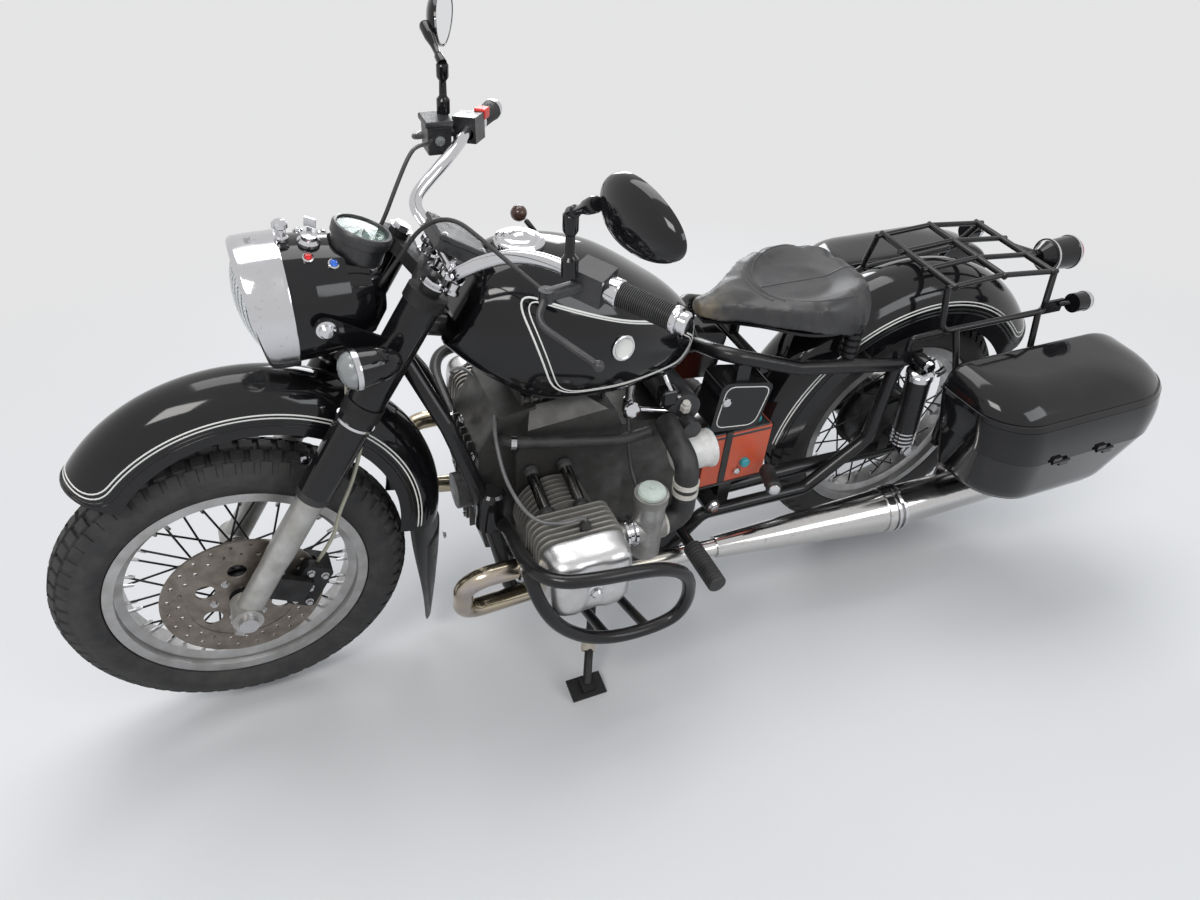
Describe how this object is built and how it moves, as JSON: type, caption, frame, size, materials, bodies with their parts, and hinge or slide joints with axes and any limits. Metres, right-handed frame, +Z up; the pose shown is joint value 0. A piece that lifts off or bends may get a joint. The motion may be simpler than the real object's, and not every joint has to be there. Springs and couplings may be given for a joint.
{
  "type": "touring motorcycle with two hard panniers",
  "caption": "Solo motorcycle with a flat twin engine, wire wheels, deep mudguards, crash bars, rack and hard panniers, leaning on its side stand.",
  "frame": {"origin": "centre of the bounding box at the ground, with the motorcycle leaning on its side stand", "axes": "+X forward, +Y to the rider's left, +Z up"},
  "size_m": [2.2549, 1.0244, 1.291],
  "materials": {
    "black_paint": "gloss",
    "chrome": "polished",
    "cast_alloy": "as cast",
    "bright_alloy": "satin",
    "disc_steel": "ground",
    "black_metal": "satin",
    "tyre": "moulded",
    "rubber": "matt",
    "leather": "worn",
    "plastic": "matt",
    "battery_case": "matt",
    "glass": "clear"
  },
  "bodies": {
    "chassis": {"frame": "black_paint", "swingarm": "black_paint", "rear_axle": "chrome", "engine_case": "cast_alloy", "cylinder_barrels": "cast_alloy", "cylinder_heads": "cast_alloy", "rocker_covers": "bright_alloy", "carburettors": "cast_alloy", "intake_hoses": "rubber", "air_filter": "plastic", "exhaust_headers": "chrome", "silencers": "chrome", "horn": "black_paint", "fuel_tank": "black_paint", "tank_cap": "chrome", "saddle": "leather", "saddle_base": "black_paint", "tool_boxes": "black_paint", "battery": "battery_case", "crash_bars": "black_paint", "foot_controls": "black_metal", "shock_absorbers": "black_paint", "rear_mudguard": "black_paint", "luggage_rack": "black_paint", "rear_lamps": "black_paint", "pannier_boxes": "black_paint"},
    "left_lid": {"pannier_lid_left": "black_paint"},
    "right_lid": {"pannier_lid_right": "black_paint"},
    "stand": {"side_stand": "black_paint"},
    "fork": {"fork_sliders": "bright_alloy", "fork_covers": "black_paint", "fork_yokes": "black_paint", "front_axle": "chrome", "brake_caliper": "black_metal", "front_mudguard": "black_paint", "mud_flap": "rubber", "headlamp": "black_paint", "headlamp_rim": "chrome", "headlamp_glass": "glass", "speedometer": "plastic", "handlebar": "chrome", "grips": "rubber", "hand_controls": "black_metal", "mirrors": "black_paint", "front_indicators": "black_metal"},
    "front_wheel": {"front_tyre": "tyre", "front_rim": "bright_alloy", "front_hub": "bright_alloy", "brake_disc": "disc_steel"},
    "rear_wheel": {"rear_tyre": "tyre", "rear_rim": "bright_alloy", "rear_hub": "bright_alloy"}
  },
  "joints": [
    {"name": "steering", "type": "hinge", "parent": "chassis", "child": "fork", "pos_m": [0.45637, -0.03921, 0.79387], "axis": [-0.5225, 0.1773, 0.834], "range_deg": [-32, 32]},
    {"name": "front_wheel_spin", "type": "hinge", "parent": "fork", "child": "front_wheel", "pos_m": [0.8125, -0.14014, 0.31901], "axis": [0, 0.9781, -0.2079], "continuous": true},
    {"name": "rear_wheel_spin", "type": "hinge", "parent": "chassis", "child": "rear_wheel", "pos_m": [-0.6875, -0.14014, 0.31901], "axis": [0, 0.9781, -0.2079], "continuous": true},
    {"name": "stand_fold", "type": "hinge", "parent": "chassis", "child": "stand", "pos_m": [0.1405, -0.01432, 0.13176], "axis": [0, 0.6429, 0.766], "range_deg": [0, 105]},
    {"name": "left_lid_hinge", "type": "hinge", "parent": "chassis", "child": "left_lid", "pos_m": [-0.8775, 0.3012, 0.40411], "axis": [-1, 0, 0], "range_deg": [0, 75]},
    {"name": "right_lid_hinge", "type": "hinge", "parent": "chassis", "child": "right_lid", "pos_m": [-0.8775, -0.50871, 0.57627], "axis": [1, 0, 0], "range_deg": [0, 75]}
  ]
}
